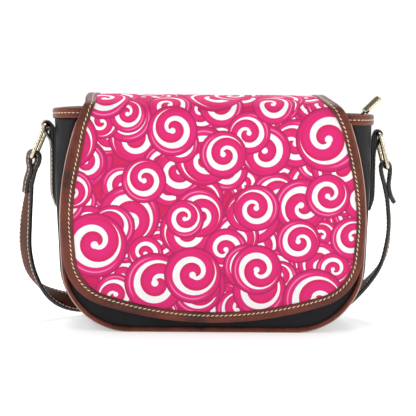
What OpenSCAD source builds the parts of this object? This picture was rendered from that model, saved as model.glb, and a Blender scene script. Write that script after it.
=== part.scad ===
// Crossbody purse: printed flap with a leather edge band over a black bag with a zipped top,
// rings on side tabs, and one long strap that lies on edge behind the bag.
// X runs to the wearer's left as the flap faces them, the flap faces -Y, and the base rests on Z = 0.

/* [Bag body] */
// Largest half width of the front panel
panel_half_w = 138.5; // [132:0.5:142]
// Depth of the gusset between the two panels
body_depth = 76; // [72:1:76]
// Height of the gusset's top edge
body_h = 196; // [194:0.5:196]
// Thickness of the black leather
skin = 2.2; // [1.8:0.1:2.4]

/* [Flap] */
// Largest half width of the flap
flap_half_w = 137.2; // [134:0.2:138]
// Width of the leather band around the flap
band_w = 10.5; // [8:0.5:13]
// Underside of the flap where it crosses over the zip
flap_clear_z = 213.3; // [213.3:0.1:216]
// Thickness of the flap's cloth and of its lining
cloth_t = 1.1; // [0.9:0.1:1.1]

/* [Zip] */
// Level of the zip's teeth
zip_z = 188.4; // [188:0.1:188.6]
// Distance from one tooth to the next
tooth_pitch = 4.2; // [3.6:0.1:5]
// Length of the pull from its pivot to its tip
pull_len = 28; // [22:0.5:28]
// Angle of the pull above level
pull_angle = 40; // [39:1:41]

/* [Rings and strap] */
// Distance between the two bars of a ring
ring_len = 31.5; // [30:0.5:32]
// Distance between the two long sides of a ring
ring_w = 27; // [26.5:0.5:30]
// Radius of the ring's wire
wire_r = 2; // [1.7:0.1:2.1]
// Outward tilt of the left ring
tilt_left = 23; // [22:0.2:24]
// Outward tilt of the right ring
tilt_right = 14.5; // [13.5:0.5:15]
// Width of the strap and of the tabs
strap_w = 18.6; // [16:0.2:18.6]
// Thickness of the strap
strap_t = 3.6; // [3:0.1:3.6]

/* [Hidden] */

black = [0.16, 0.16, 0.18];
brown = [0.43, 0.22, 0.16];
brass = [0.72, 0.66, 0.5];
pink = [0.9, 0.16, 0.51];
plain_cloth = [0.22, 0.17, 0.15];

half_d = body_depth / 2;
touch = 0.05;
run_gap = 0.4;
rim_flat = 124;
rim_bulge = 23.3;
binding_t = 2.2;
binding_h = 10;
binding_lip = 2.5;
binding_in = 3;
piping_w = 4.5;
piping_t = 3;

// An outline is a list of circles [x, z, r] from the middle of the base to the top.
front_circles = [
    [75, 62, 62],
    [panel_half_w - 45, 92, 45],
    [panel_half_w - 270, 100, 270],
    [115.6, 200, 4]
];
middle_circles = [
    [80, 62, 62],
    [114.2, 120, 30.5],
    [114.8, 150, 30.5],
    [143, 200, 4]
];
flap_circles = [
    [0, 340.8, 331],
    [87, 71.5, 48],
    [flap_half_w - 45, 98, 45],
    [flap_half_w - 225, 100, 225],
    [60, 168, 66]
];

function lerp(a, b, t) = a + (b - a) * t;
function mix_circles(a, b, t) = [for (i = [0:len(a) - 1]) lerp(a[i], b[i], t)];
// Direction of the common tangent's normal from circle a to circle b
function meet(a, b) =
    let (d = [b[0] - a[0], b[1] - a[1]])
    atan2(d[1], d[0]) - acos(min(1, (a[2] - b[2]) / norm(d)));
// Right half of an outline, grown by g, as points from the base to the top
function half_outline(c, g) =
    let (turns = concat([-90], [for (i = [0:len(c) - 2]) meet(c[i], c[i + 1])], [90]))
    [for (i = [0:len(c) - 1])
        let (steps = max(2, ceil((turns[i + 1] - turns[i]) / 5)))
        for (k = [0:steps])
            let (a = lerp(turns[i], turns[i + 1], k / steps))
            [c[i][0] + (c[i][2] + g) * cos(a), c[i][1] + (c[i][2] + g) * sin(a)]];
function outline(c, g = 0) =
    let (h = half_outline(c, g), n = len(h))
    concat(h, [for (i = [n - 1:-1:0]) [-h[i][0], h[i][1]]]);
// Plan of the bag's mouth, grown by g
function rim(g = 0) =
    [for (side = [0, 180]) for (k = [-90:10:90])
        let (turn = side == 0 ? 1 : -1)
        turn * [rim_flat + (rim_bulge + g) * cos(k), (half_d + g) * sin(k)]];

// Stands a drawing made in X and Z upright and gives it the depth from y0 to y1
module slab(y0, y1) {
    translate([0, y1, 0]) rotate([90, 0, 0]) linear_extrude(y1 - y0) children();
}
// Gives a drawing made in Y and Z a length along X
module along_x(x0, x1) {
    translate([x0, 0, 0]) rotate([90, 0, 90]) linear_extrude(x1 - x0) children();
}
module block(low, high) {
    translate(low) cube(high - low);
}
module below(z) {
    intersection() {
        children();
        block([-400, -400, -10], [400, 400, z]);
    }
}
module above(z) {
    intersection() {
        children();
        block([-400, -400, z], [400, 400, 400]);
    }
}

// Solid shape of the bag, grown by g and reaching depth y to the front and the back
module bag_solid(g, y) {
    hull() for (a = [-90:30:90])
        translate([0, (y - touch) * sin(a), 0]) slab(-touch, touch)
            polygon(outline(mix_circles(front_circles, middle_circles, cos(a)), g));
}

module front_panel() {
    color(black) panel(-1);
}
module back_panel() {
    color(black) panel(1);
}
module panel(side) {
    below(body_h - touch) scale([1, side, 1]) slab(half_d - 2, half_d)
        polygon(outline(front_circles, -skin - touch));
}
module gusset() {
    color(black) below(body_h) difference() {
        bag_solid(0, half_d);
        bag_solid(-skin, half_d + 1);
    }
}
module front_piping() {
    color(brown) piping(-1);
}
module back_piping() {
    color(brown) piping(1);
}
module piping(side) {
    below(body_h - binding_h + binding_lip - 0.5) scale([1, side, 1])
        slab(half_d, half_d + piping_t) difference() {
            polygon(outline(front_circles));
            polygon(outline(front_circles, -piping_w));
        }
}
module base_board() {
    color(plain_cloth) block([-66, -32, skin + 0.1], [66, 32, 4.6]);
}
module lining() {
    color(plain_cloth) above(4.8) below(body_h - 9) difference() {
        bag_solid(-skin - 1, half_d - 3.2);
        above(5.8) bag_solid(-skin - 2, half_d - 4.2);
    }
}

pocket_half_w = 72;
pocket_z = [60, 150];
pocket_y = [half_d - 10.4, half_d - 4.3];
module slip_pocket() {
    color(plain_cloth) difference() {
        block([-pocket_half_w, pocket_y[0], pocket_z[0]], [pocket_half_w, pocket_y[1], pocket_z[1]]);
        block(
            [-pocket_half_w + 4, pocket_y[0] + 1.2, pocket_z[0] + 4],
            [pocket_half_w - 4, pocket_y[1] + 1, pocket_z[1] + 1]
        );
    }
}
module pocket_trim() {
    color(brown) block(
        [-pocket_half_w + 4, pocket_y[0] - 1.1, pocket_z[1] - 12],
        [pocket_half_w - 4, pocket_y[0] - touch, pocket_z[1] + 0.5]
    );
}

// Leather binding folded over the mouth
module top_binding() {
    color(brown) difference() {
        translate([0, 0, body_h + binding_lip - binding_h])
            linear_extrude(binding_h) polygon(rim(binding_t));
        translate([0, 0, body_h - 20]) linear_extrude(20) polygon(rim(touch));
        translate([0, 0, body_h - 1]) linear_extrude(20) polygon(rim(-binding_in));
    }
}

panel_edge_y = 8;
panel_drop = 6;
panel_inset = 1.2;
module top_panel_front() {
    color(black) top_panel(-1);
}
module top_panel_back() {
    color(black) top_panel(1);
}
module top_panel(side) {
    outer_y = half_d - binding_in;
    intersection() {
        along_x(-150, 150) polygon([
            [side * outer_y, body_h], [side * panel_edge_y, body_h - panel_drop],
            [side * panel_edge_y, body_h - panel_drop - 1.5], [side * outer_y, body_h - 1.5]
        ]);
        translate([0, 0, body_h - 20]) linear_extrude(40) polygon(rim(-binding_in - panel_inset));
    }
}

row_y = 0.8;
tooth_w = 2.5;
tooth_h = 3;
tape_end = 139.5;
zip_end_x = 143.3;
teeth_from = -133.5;
teeth_to = 129.6;
tape_top = zip_z + 0.1;
module zip_tape_front() {
    color(black) zip_tape(-1);
}
module zip_tape_back() {
    color(black) zip_tape(1);
}
module zip_tape(side) {
    scale([1, side, 1]) block(
        [-tape_end, row_y + tooth_w, tape_top - 0.9],
        [tape_end, panel_edge_y + 2.2, tape_top]
    );
}
module zip_teeth_front() {
    color(brass) zip_teeth(-1);
}
module zip_teeth_back() {
    color(brass) zip_teeth(1);
}
module zip_teeth(side) {
    gap = tooth_pitch * 0.45;
    count = floor((teeth_to - teeth_from) / tooth_pitch);
    x_last = teeth_from + count * tooth_pitch;
    root = row_y + tooth_w;
    comb = [for (k = [0:count - 1])
        let (x = teeth_from + k * tooth_pitch, end = x + tooth_pitch - gap)
        each [[x, row_y], [end, row_y], [end, root - 0.9], [x + tooth_pitch, root - 0.9]]];
    scale([1, side, 1]) translate([0, 0, zip_z - tooth_h / 2]) linear_extrude(tooth_h)
        polygon(concat([[teeth_from, root - touch]], comb, [[x_last, root - touch]]));
}
module zip_end_left() {
    color(brown) zip_end(-1);
}
module zip_end_right() {
    color(brown) zip_end(1);
}
module zip_end(side) {
    scale([side, 1, 1]) block(
        [tape_end + 0.1, 0.1 - panel_edge_y, tape_top - 0.9],
        [zip_end_x, panel_edge_y - 0.1, tape_top + 0.7]
    );
}
module zip_stop_left() {
    color(brass) block([teeth_from - 3, -4.5, tape_top + touch], [teeth_from - 0.8, 4.5, tape_top + 1.2]);
}
module zip_stop_right() {
    color(brass) for (side = [-1, 1]) scale([1, side, 1])
        block([teeth_to + 9.2, 4, tape_top + touch], [tape_end - 0.2, 7, tape_top + 1.2]);
}

slider_x = 133.6;
slider_half = 4.5;
plate_t = 1.4;
plate_top = zip_z + tooth_h / 2 + run_gap + plate_t;
pivot_z = plate_top + 2.3;
bail_hole = 1.5;
module zip_slider() {
    color(brass) {
        for (z = [plate_top - plate_t, zip_z - tooth_h / 2 - run_gap - plate_t])
            translate([slider_x, 0, z]) linear_extrude(plate_t) hull() {
                translate([-slider_half + 2, 0]) circle(2.4, $fn = 32);
                translate([slider_half - 2, 0]) square([4, 10], center = true);
            }
        block(
            [slider_x - 1.5, 0.4 - row_y, zip_z - tooth_h / 2 - run_gap - 1],
            [slider_x + 1.5, row_y - 0.4, plate_top - 1]
        );
    }
}
module zip_bail() {
    color(brass) translate([0, -1.2, 0]) slab(0, 2.4) difference() {
        translate([slider_x - 3, plate_top + touch]) square([6, pivot_z - plate_top + bail_hole + 1.1]);
        translate([slider_x, pivot_z]) circle(bail_hole, $fn = 48);
    }
}
// Places a piece of the pull, drawn along +X from the pivot
module on_pull() {
    translate([slider_x, 0, pivot_z]) rotate([0, -pull_angle, 0]) children();
}
link_to = 9;
module pull_link() {
    color(brown) on_pull() {
        rotate([90, 0, 0]) cylinder(h = 6.4, r = 1.1, center = true, $fn = 48);
        for (side = [-1, 1]) scale([1, side, 1]) block([0, 1.6, -1], [link_to, 3.2, 1]);
        block([4.8, -3.2, -1], [link_to, 3.2, 1]);
    }
}
module pull_tag() {
    color(brass) on_pull() translate([link_to + touch, 0, 0]) rotate([18, 0, 0]) {
        slot = pull_len - link_to;
        translate([0, 0, -1.3]) linear_extrude(2.6) hull() {
            translate([0, -3.6]) square([2, 7.2]);
            translate([slot - 3.6, 0]) circle(3.6, $fn = 48);
        }
    }
}

loop_t = 3;
loop_r = wire_r + 0.35;
tab_t = 3;
pivot_left = [-154.6, 186.2];
pivot_right = [153, 180];
bar_left = pivot_left + ring_len * [-sin(tilt_left), -cos(tilt_left)];
bar_right = pivot_right + ring_len * [sin(tilt_right), -cos(tilt_right)];
module tab_left() {
    color(brown) scale([-1, 1, 1]) tab([-pivot_left[0], pivot_left[1]], 116);
}
module tab_right() {
    color(brown) tab(pivot_right, 113);
}
// A strip folded around the ring's upper bar and stitched down the gusset
module tab(pivot, low) {
    inner = 147.1;
    outer = inner + tab_t;
    slab(-strap_w / 2, strap_w / 2) difference() {
        union() {
            translate(pivot) circle(loop_r + loop_t, $fn = 64);
            polygon([
                [inner, pivot[1]], pivot + [loop_r + loop_t - 0.2, -1], [pivot[0] + 1.2, pivot[1] - 11],
                [outer, pivot[1] - 19], [outer, low + 2], [outer - 1, low], [inner, low]
            ]);
        }
        translate(pivot) circle(loop_r, $fn = 64);
    }
}

module ring_left() {
    color(brass) translate([pivot_left[0], 0, pivot_left[1]]) rotate([0, tilt_left, 0]) ring();
}
module ring_right() {
    color(brass) translate([pivot_right[0], 0, pivot_right[1]]) rotate([0, -tilt_right, 0]) ring();
}
// A rounded rectangle of wire that hangs from its upper bar at the origin
module ring() {
    bend = 3.3;
    half_w = ring_w / 2;
    rotate([90, 0, 90]) {
        for (y = [0, -ring_len]) translate([0, y, 0]) rotate([0, 90, 0])
            cylinder(h = ring_w - 2 * bend, r = wire_r, center = true, $fn = 48);
        for (x = [-half_w, half_w]) translate([x, bend - ring_len, 0]) rotate([-90, 0, 0])
            cylinder(h = ring_len - 2 * bend, r = wire_r, $fn = 48);
        for (k = [0:3])
            translate([(k == 0 || k == 3 ? 1 : -1) * (half_w - bend), k < 2 ? -bend : bend - ring_len, 0])
                rotate([0, 0, 90 * k]) rotate_extrude(angle = 90, $fn = 64)
                    translate([bend, 0]) circle(wire_r, $fn = 48);
    }
}

// Route of the strap from the left ring to the right one: each entry is a point [x, y, z] and the
// direction of the strap's width there. It leans at the entries lean_left and lean_right.
route = [
    [[-170.5, 0, 131], [0, 1, 0]],
    [[-172.8, 0, 114], [-0.2, 1, 0]],
    [[-175, 1, 95], [-0.45, 0.87, 0]],
    [[-176, 4, 70], [-0.5, 0.84, 0]],
    [[-171.5, 9, 46], [-0.53, 0.81, 0.1]],
    [[-160, 17, 27], [-0.45, 0.7, 0.5]],
    [[-141, 29, 15], [-0.2, 0.5, 0.85]],
    [[-117, 43.5, 10.2], [0, 0.2, 0.98]],
    [[-88, 56, 9.4], [0, 0, 1]],
    [[-60, 60, 9.4], [0, 0, 1]],
    [[0, 60, 9.4], [0, 0, 1]],
    [[56, 60, 9.4], [0, 0, 1]],
    [[72, 67, 9.4], [0, 0, 1]],
    [[72, 85, 9.4], [0, 0, 1]],
    [[56, 92, 9.4], [0, 0, 1]],
    [[0, 92, 9.4], [0, 0, 1]],
    [[-56, 92, 9.4], [0, 0, 1]],
    [[-72, 99, 9.4], [0, 0, 1]],
    [[-72, 117, 9.4], [0, 0, 1]],
    [[-56, 124, 9.4], [0, 0, 1]],
    [[0, 124, 9.4], [0, 0, 1]],
    [[60, 121, 9.4], [0, 0, 1]],
    [[98, 98, 9.4], [0, 0, 1]],
    [[118, 66, 9.8], [0, 0.1, 1]],
    [[130, 43, 15], [0.15, 0.4, 0.9]],
    [[143.5, 28, 28], [0.3, 0.7, 0.6]],
    [[154, 16, 43], [0.28, 0.9, 0.3]],
    [[160.8, 7, 58], [0.26, 0.95, 0.1]],
    [[164.6, 3, 76], [0.25, 0.97, 0]],
    [[165.4, 0, 97], [0.15, 1, 0]],
    [[163.6, 0, 118], [0, 1, 0]]
];
route_end = len(route) - 1;
lean_left = 4;
lean_right = 27;
lean_gap = 0.02;
function unit(v) = v / norm(v);
// Point of a smooth curve through four route points, between the middle two
function smooth(a, b, c, d, t) =
    0.5 * (2 * b + (c - a) * t + (2 * a - 5 * b + 4 * c - d) * t * t + (3 * b - a - 3 * c + d) * t * t * t);
function entry(k, part) =
    k < 0 ? 2 * route[0][part] - route[1][part]
    : k > route_end ? 2 * route[route_end][part] - route[route_end - 1][part]
    : route[k][part];
function route_at(u, part) =
    let (k = min(floor(u), route_end - 1))
    smooth(entry(k - 1, part), entry(k, part), entry(k + 1, part), entry(k + 2, part), u - k);
// The strap along its route from entry a to entry b, which may be fractions
module ribbon(a, b) {
    count = 3 * ceil(b - a);
    corners = [[-1, -1], [1, -1], [1, 1], [-1, 1]];
    points = [for (k = [0:count])
        let (
            u = lerp(a, b, k / count),
            run = unit(route_at(min(u + 0.05, route_end), 0) - route_at(max(u - 0.05, 0), 0)),
            raw = route_at(u, 1),
            side = unit(raw - run * (raw * run)),
            face = cross(run, side)
        )
        for (c = corners) route_at(u, 0) + side * c[0] * strap_w / 2 + face * c[1] * strap_t / 2];
    walls = [for (k = [0:count - 1], c = [0:3])
        let (p = 4 * k + c, q = 4 * k + (c + 1) % 4)
        each [[p, q + 4, q], [p, p + 4, q + 4]]];
    polyhedron(points, concat([[0, 1, 2, 3]], walls, [[for (c = [3:-1:0]) 4 * count + c]]));
}
// The strap's end, folded around a ring's lower bar and stitched back onto itself down to foot
module strap_loop(bar, foot) {
    loop_out = loop_r + strap_t - 0.3;
    run = unit(foot - bar);
    off = [-run[1], run[0]];
    join = bar + run * 17;
    slab(-strap_w / 2, strap_w / 2) difference() {
        union() {
            translate(bar) circle(loop_out, $fn = 64);
            polygon([
                bar + off * loop_out, join + off * strap_t, foot + off * strap_t / 2,
                foot - off * strap_t / 2, join - off * strap_t, bar - off * loop_out
            ]);
        }
        translate(bar) circle(loop_r, $fn = 64);
        polygon([
            bar + off * loop_r, bar + run * 7 + off * 2, join - run * 4,
            bar + run * 7 - off * 2, bar - off * loop_r
        ]);
    }
}
module strap_left() {
    color(brown) {
        strap_loop(bar_left, [route[0][0][0], route[0][0][2] - touch]);
        ribbon(0, lean_left - lean_gap);
    }
}
module strap_middle() {
    color(brown) ribbon(lean_left + lean_gap, lean_right - lean_gap);
}
module strap_right() {
    color(brown) {
        strap_loop(bar_right, [route[route_end][0][0], route[route_end][0][2] - touch]);
        ribbon(lean_right + lean_gap, route_end);
    }
}

snap_z = 58;
snap_r = 8;
flap_in_y = -half_d - 5.6;
module snap_disc(y0, y1, r) {
    slab(y0, y1) translate([0, snap_z]) circle(r, $fn = 64);
}
module snap_socket() {
    color(brass) snap_disc(-half_d - 2.4, -half_d - touch, snap_r);
}
module snap_washer() {
    color(brass) snap_disc(-half_d + 2 + touch, -half_d + 2.9, snap_r - 1);
}
module snap_stud() {
    color(brass) snap_disc(flap_in_y + touch, -half_d - 2.9, snap_r);
}

// The flap's section in Y and Z: it is sewn to the back, crosses the top in an arch and hangs down in front.
hinge_back = [half_d + 3.35, 203.5];
hinge_front = [-half_d - 6.5, 203];
nose_r = 1.1;
band_extra = 0.3;
crown = flap_clear_z + cloth_t;
function arch(g) = [
    hinge_back + [0, g], [24, crown - 3 + g], [8, crown + g], [-10, crown + g], [-28, crown - 2.6 + g],
    hinge_front + [0, g]
];
function flap_half_at(y) = y > 0 ? lerp(111, 106, y / half_d) : lerp(111, 117, -y / half_d);
module arch_sheet(low, high) {
    along_x(-120, 120) polygon(concat(arch(high), [for (k = [5:-1:0]) arch(low)[k]]));
}
module arch_plan(g) {
    right = [for (y = [50, 0, -50]) [flap_half_at(y) + g, y]];
    translate([0, 0, 190]) linear_extrude(40)
        polygon(concat(right, [for (k = [2:-1:0]) [-right[k][0], right[k][1]]]));
}
module flap_anchor() {
    color(brown) block(
        [-104, half_d + binding_t + touch, 180],
        [104, half_d + binding_t + touch + 2 * cloth_t, hinge_back[1] - nose_r - run_gap]
    );
}
module flap_top_print() {
    color(pink) intersection() {
        arch_sheet(touch / 2, cloth_t);
        arch_plan(-band_w - touch);
    }
}
module flap_top_lining() {
    color(plain_cloth) intersection() {
        arch_sheet(-cloth_t, -touch / 2);
        arch_plan(-band_w - touch);
    }
}
module flap_top_trim() {
    color(brown) {
        difference() {
            intersection() {
                arch_sheet(-cloth_t, cloth_t + band_extra);
                arch_plan(0);
            }
            arch_plan(-band_w);
        }
    }
}

flap_top_z = hinge_front[1] - nose_r - run_gap;
module flap_sheet(y0, y1, g) {
    below(flap_top_z) slab(y0, y1) polygon(outline(flap_circles, g));
}
flap_mid_y = hinge_front[0];
module flap_print() {
    color(pink) flap_sheet(flap_mid_y - cloth_t, flap_mid_y - touch / 2, -band_w - touch);
}
module flap_lining() {
    color(plain_cloth) flap_sheet(flap_mid_y + touch / 2, flap_in_y, -band_w - touch);
}
module flap_trim() {
    color(brown) difference() {
        flap_sheet(flap_mid_y - cloth_t - band_extra, flap_in_y, 0);
        slab(-80, 0) polygon(outline(flap_circles, -band_w));
    }
}

front_panel();
back_panel();
gusset();
front_piping();
back_piping();
base_board();
lining();
slip_pocket();
pocket_trim();
top_binding();
top_panel_front();
top_panel_back();
zip_tape_front();
zip_tape_back();
zip_teeth_front();
zip_teeth_back();
zip_end_left();
zip_end_right();
zip_stop_left();
zip_stop_right();
zip_slider();
zip_bail();
pull_link();
pull_tag();
tab_left();
tab_right();
ring_left();
ring_right();
strap_left();
strap_middle();
strap_right();
snap_socket();
snap_washer();
snap_stud();
flap_anchor();
flap_top_print();
flap_top_lining();
flap_top_trim();
flap_print();
flap_lining();
flap_trim();
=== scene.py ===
"""Crossbody purse with a printed flap: looks of each piece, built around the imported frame."""
import math

import bmesh
import bpy
from bpy.props import FloatProperty, FloatVectorProperty, IntProperty, PointerProperty
from mathutils import Matrix, Vector, noise


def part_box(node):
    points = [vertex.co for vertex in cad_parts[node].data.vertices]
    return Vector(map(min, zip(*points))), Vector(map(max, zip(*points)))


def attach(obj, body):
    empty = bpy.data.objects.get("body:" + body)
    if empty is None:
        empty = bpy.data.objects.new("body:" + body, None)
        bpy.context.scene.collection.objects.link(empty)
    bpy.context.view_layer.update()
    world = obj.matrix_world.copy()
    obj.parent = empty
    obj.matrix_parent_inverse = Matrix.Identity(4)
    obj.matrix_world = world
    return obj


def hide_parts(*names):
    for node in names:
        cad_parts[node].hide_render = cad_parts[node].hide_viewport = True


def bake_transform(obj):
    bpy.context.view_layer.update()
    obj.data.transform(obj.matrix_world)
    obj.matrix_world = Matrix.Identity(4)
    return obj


bl_info = {
    "name": "Crossbody Purse",
    "version": (1, 0, 0),
    "blender": (4, 5, 0),
    "location": "View3D > Sidebar > Purse",
    "description": "Builds the leather, cloth, metal and thread of a crossbody purse",
    "category": "Add Mesh",
}

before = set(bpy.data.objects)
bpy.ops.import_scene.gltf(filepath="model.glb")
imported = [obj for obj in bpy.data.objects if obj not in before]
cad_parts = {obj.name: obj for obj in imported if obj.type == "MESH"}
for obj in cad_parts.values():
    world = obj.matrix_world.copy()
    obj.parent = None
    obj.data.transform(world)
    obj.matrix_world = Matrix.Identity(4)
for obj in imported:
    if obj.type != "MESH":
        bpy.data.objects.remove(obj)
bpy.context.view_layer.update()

# Outlines are circles (x, z, radius) from the middle of the base up to the mouth, in metres.
FRONT_OUTLINE = [(0.075, 0.062, 0.062), (0.0935, 0.092, 0.045), (-0.1315, 0.100, 0.270),
                 (0.1156, 0.200, 0.004)]
MIDDLE_OUTLINE = [(0.080, 0.062, 0.062), (0.1142, 0.120, 0.0305), (0.1148, 0.150, 0.0305),
                  (0.143, 0.200, 0.004)]
FLAP_OUTLINE = [(0.0, 0.3408, 0.331), (0.087, 0.0715, 0.048), (0.0922, 0.098, 0.045),
                (-0.0878, 0.100, 0.225), (0.060, 0.168, 0.066)]
HALF_DEPTH = 0.038
MOUTH_FLAT, MOUTH_BULGE = 0.124, 0.0233
FLAP_FACE_Y = -0.0445
# The flap above its straight front, over the crown to the back: Y, Z, half its width, shift of its middle
FLAP_ARCH = [(-0.0445, 0.196, 0.1197, 0.0), (-0.0440, 0.2025, 0.1168, -0.0005),
             (-0.0385, 0.2078, 0.1128, -0.0020), (-0.028, 0.2116, 0.1106, -0.0050),
             (-0.010, 0.2144, 0.1090, -0.0063), (0.008, 0.2144, 0.1082, -0.0065),
             (0.024, 0.2114, 0.1072, -0.0060), (0.0355, 0.2066, 0.1065, -0.0050),
             (0.0408, 0.2015, 0.1060, -0.0040), (0.0414, 0.1965, 0.1060, -0.0040)]
# Route of the strap from the left ring to the right one: point and direction of the strap's width
STRAP_ROUTE = [
    ((-0.1705, 0, 0.131), (-0.32, 1, 0)), ((-0.1728, 0, 0.114), (-0.56, 1, 0)),
    ((-0.175, 0.001, 0.095), (-0.66, 0.87, 0)), ((-0.176, 0.004, 0.070), (-0.66, 0.84, 0)),
    ((-0.1715, 0.009, 0.046), (-0.62, 0.81, 0.1)), ((-0.160, 0.017, 0.027), (-0.45, 0.7, 0.5)),
    ((-0.141, 0.029, 0.015), (-0.2, 0.5, 0.85)), ((-0.117, 0.0435, 0.0102), (0, 0.2, 0.98)),
    ((-0.088, 0.056, 0.0094), (0, 0, 1)), ((-0.060, 0.060, 0.0094), (0, 0, 1)),
    ((0, 0.060, 0.0094), (0, 0, 1)), ((0.056, 0.060, 0.0094), (0, 0, 1)),
    ((0.072, 0.067, 0.0094), (0, 0, 1)), ((0.072, 0.085, 0.0094), (0, 0, 1)),
    ((0.056, 0.092, 0.0094), (0, 0, 1)), ((0, 0.092, 0.0094), (0, 0, 1)),
    ((-0.056, 0.092, 0.0094), (0, 0, 1)), ((-0.072, 0.099, 0.0094), (0, 0, 1)),
    ((-0.072, 0.117, 0.0094), (0, 0, 1)), ((-0.056, 0.124, 0.0094), (0, 0, 1)),
    ((0, 0.124, 0.0094), (0, 0, 1)), ((0.060, 0.121, 0.0094), (0, 0, 1)),
    ((0.098, 0.098, 0.0094), (0, 0, 1)), ((0.118, 0.066, 0.0098), (0, 0.1, 1)),
    ((0.130, 0.043, 0.015), (0.15, 0.4, 0.9)), ((0.1435, 0.028, 0.028), (0.3, 0.7, 0.6)),
    ((0.154, 0.016, 0.043), (0.28, 0.9, 0.3)), ((0.1608, 0.007, 0.058), (0.26, 0.95, 0.1)),
    ((0.1646, 0.003, 0.076), (0.25, 0.97, 0)), ((0.1654, 0, 0.097), (0.15, 1, 0)),
    ((0.1636, 0, 0.118), (0.15, 1, 0)),
]
RING_PIVOTS = {"left": Vector((-0.1546, 0, 0.1862)), "right": Vector((0.153, 0, 0.180))}
RING_TILTS = {"left": math.radians(23), "right": math.radians(-14.5)}
RING_LENGTH, RING_WIDTH, RING_BEND = 0.0315, 0.027, 0.0033
SIDE_X = 0.1468
MOUTH_Z = 0.1916
TOOTH_Z = 0.1884
FLAP_FRONT_TOP = FLAP_ARCH[0][1]
CLOTH_INSET, CUT_HALF_WIDTH = 0.0078, 0.1395
THREAD_FLATTENING = 0.8
STITCHES_PER_BATCH = 30


def shade(red, green, blue):
    """Linear colour of a screen colour given from 0 to 255"""
    def linear(c):
        c /= 255
        return c / 12.92 if c < 0.04045 else ((c + 0.055) / 1.055) ** 2.4
    return (linear(red), linear(green), linear(blue), 1.0)


def toned(colour, strength):
    """The colour, made darker or paler"""
    return tuple(min(1.0, strength * v) for v in colour[:3]) + (1.0,)


def length_property(name, description, default, **limits):
    return FloatProperty(name=name, description=description, default=default, subtype="DISTANCE",
                         unit="LENGTH", **limits)


def colour_property(name, description, default):
    return FloatVectorProperty(name=name, description=description, default=default, size=4,
                               subtype="COLOR", min=0, max=1)


class PurseSizes(bpy.types.PropertyGroup):
    """Sizes that a maker would change"""
    piping_radius: length_property("Piping radius", "Radius of the cord inside the piping", 0.0025)
    crease_depth: length_property("Crease depth", "Depth of the soft folds in the gusset", 0.0016)
    mouth_tilt: length_property("Mouth tilt", "Rise of the mouth's left end above its middle", 0.0028)
    band_width: length_property("Band width", "Width of the leather band around the flap", 0.0100)
    band_height: length_property("Band height", "Height of the band above the flap's middle", 0.00175)
    stitch_pitch: length_property("Stitch pitch", "Distance from one stitch to the next", 0.0041)
    stitch_length: length_property("Stitch length", "Length of thread that shows in a stitch", 0.0034)
    thread_radius: length_property("Thread radius", "Radius of the sewing thread", 0.00050)
    strap_width: length_property("Strap width", "Width of the strap", 0.0186)
    strap_thickness: length_property("Strap thickness", "Thickness of the strap", 0.0036)
    tab_thickness: length_property("Tab thickness", "Thickness of the strips that hold the rings", 0.0021)
    wire_radius: length_property("Wire radius", "Radius of the rings' wire", 0.002)
    tooth_pitch: length_property("Tooth pitch", "Distance from one zip tooth to the next", 0.0042)
    ring_segments: IntProperty(name="Wire segments", description="Sides of round wire and cord",
                               default=16, min=8, max=48)


class PurseColours(bpy.types.PropertyGroup):
    """Colours of the leather, cloth, metal and thread"""
    leather: colour_property("Leather", "Main colour of the brown leather", shade(114, 50, 31))
    leather_deep: colour_property("Leather, deep", "Colour in its grain and folds", shade(52, 22, 14))
    leather_worn: colour_property("Leather, worn", "Colour where it is rubbed", shade(172, 108, 82))
    strap_leather: colour_property("Strap", "Main colour of the strap", shade(92, 52, 41))
    black: colour_property("Black leather", "Colour of the body", shade(25, 25, 28))
    edge_paint: colour_property("Edge paint", "Colour of the strap's painted edges", shade(15, 15, 17))
    brass: colour_property("Brass", "Colour of the metal", shade(206, 196, 168))
    thread: colour_property("Thread", "Colour of the stitches", shade(238, 216, 188))
    candy: colour_property("Candy", "Main colour of the print", shade(220, 46, 118))
    candy_deep: colour_property("Candy, deep", "Colour along the swirls", shade(206, 42, 92))
    candy_rim: colour_property("Candy, rim", "Colour at the rims", shade(168, 40, 88))
    candy_shine: colour_property("Candy, shine", "Colour of the pale arcs", shade(240, 140, 190))
    canvas: colour_property("Canvas", "Colour of the bare cloth", shade(241, 242, 242))
    lining: colour_property("Lining", "Colour of the lining cloth", shade(58, 46, 42))
    floor: colour_property("Floor", "Colour of the floor", (0.94, 0.94, 0.94, 1))


def sizes():
    return bpy.context.scene.purse_sizes


def colours():
    return bpy.context.scene.purse_colours


# ---------------------------------------------------------------- finishes

class Value:
    """A socket in a finish, with arithmetic that adds Math nodes"""

    def __init__(self, finish, socket):
        self.finish, self.socket = finish, socket

    def math(self, operation, *others, swap=False):
        terms = [*others, self] if swap else [self, *others]
        return self.finish.node("ShaderNodeMath", {"operation": operation}, dict(enumerate(terms)))

    def __add__(self, other):
        return self.math("ADD", other)

    def __sub__(self, other):
        return self.math("SUBTRACT", other)

    def __rsub__(self, other):
        return self.math("SUBTRACT", other, swap=True)

    def __mul__(self, other):
        return self.math("MULTIPLY", other)

    def __truediv__(self, other):
        return self.math("DIVIDE", other)

    def __pow__(self, other):
        return self.math("POWER", other)

    __radd__, __rmul__ = __add__, __mul__

    def below(self, limit):
        return self.math("LESS_THAN", limit)

    def above(self, limit):
        return self.math("GREATER_THAN", limit)

    def rises(self, low, high):
        """0 below low, 1 above high and smooth between"""
        return self.finish.node("ShaderNodeMapRange", {"interpolation_type": "SMOOTHSTEP"},
                                {0: self, 1: low, 2: high, 3: 0.0, 4: 1.0})


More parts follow.
